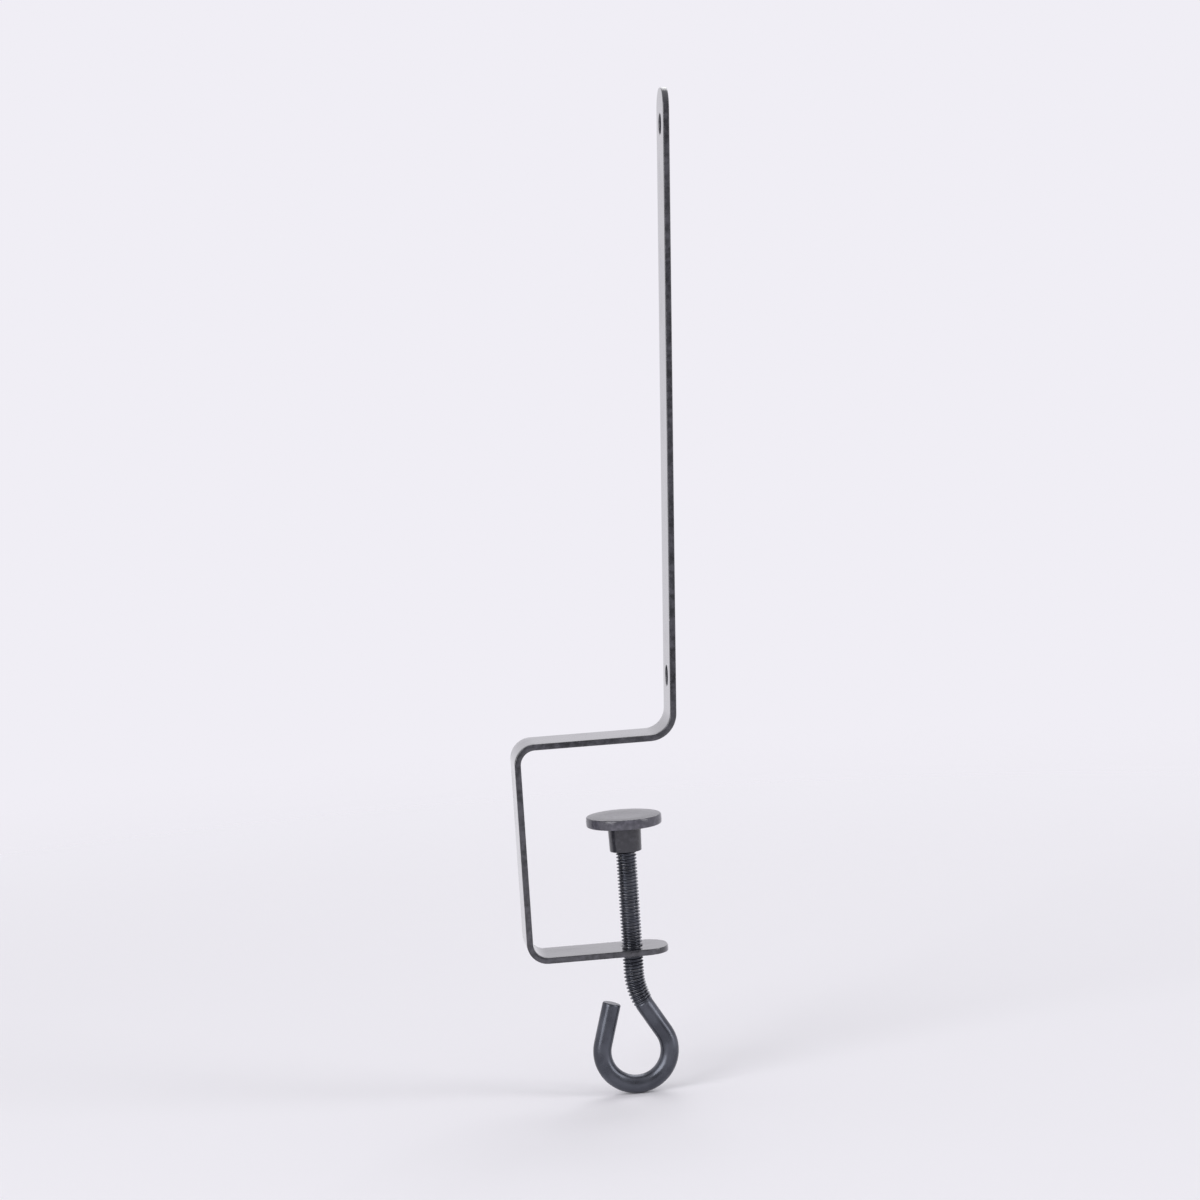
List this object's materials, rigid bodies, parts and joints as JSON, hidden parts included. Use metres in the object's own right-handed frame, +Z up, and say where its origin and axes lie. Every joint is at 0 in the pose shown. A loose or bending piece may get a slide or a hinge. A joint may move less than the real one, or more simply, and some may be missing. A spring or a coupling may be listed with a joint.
{
  "type": "table tennis net clamp",
  "caption": "Bent steel table tennis net post and jaw, with a clamp screw turned by its open eye and a swivelling plastic pressure pad.",
  "frame": {"origin": "on the screw's axis, at the face of the upper arm that lies on the table top", "axes": "+Z up along the screw's axis, +X out of the jaw and over the table, Y along the strip's width"},
  "size_m": [0.0467, 0.018, 0.2377],
  "materials": {
    "strip_paint": "satin",
    "screw_finish": "satin",
    "pad_plastic": "matte"
  },
  "bodies": {
    "bracket": {"bracket": "strip_paint"},
    "pad": {"pressure_pad": "pad_plastic"},
    "screw": {"clamp_screw": "screw_finish"}
  },
  "joints": [
    {"name": "pad_travel", "type": "slide", "parent": "bracket", "child": "pad", "axis": [0, 0, 1], "range_m": [-0.02241, 0.00441]},
    {"name": "screw_turn", "type": "hinge", "parent": "pad", "child": "screw", "pos_m": [0, 0, -0.04], "axis": [0, 0, 1], "range_deg": [-10080, 1980]}
  ],
  "couplings": [
    {"joint": "pad_travel", "follows": "screw_turn", "m_per_rad": 0.00012732}
  ]
}
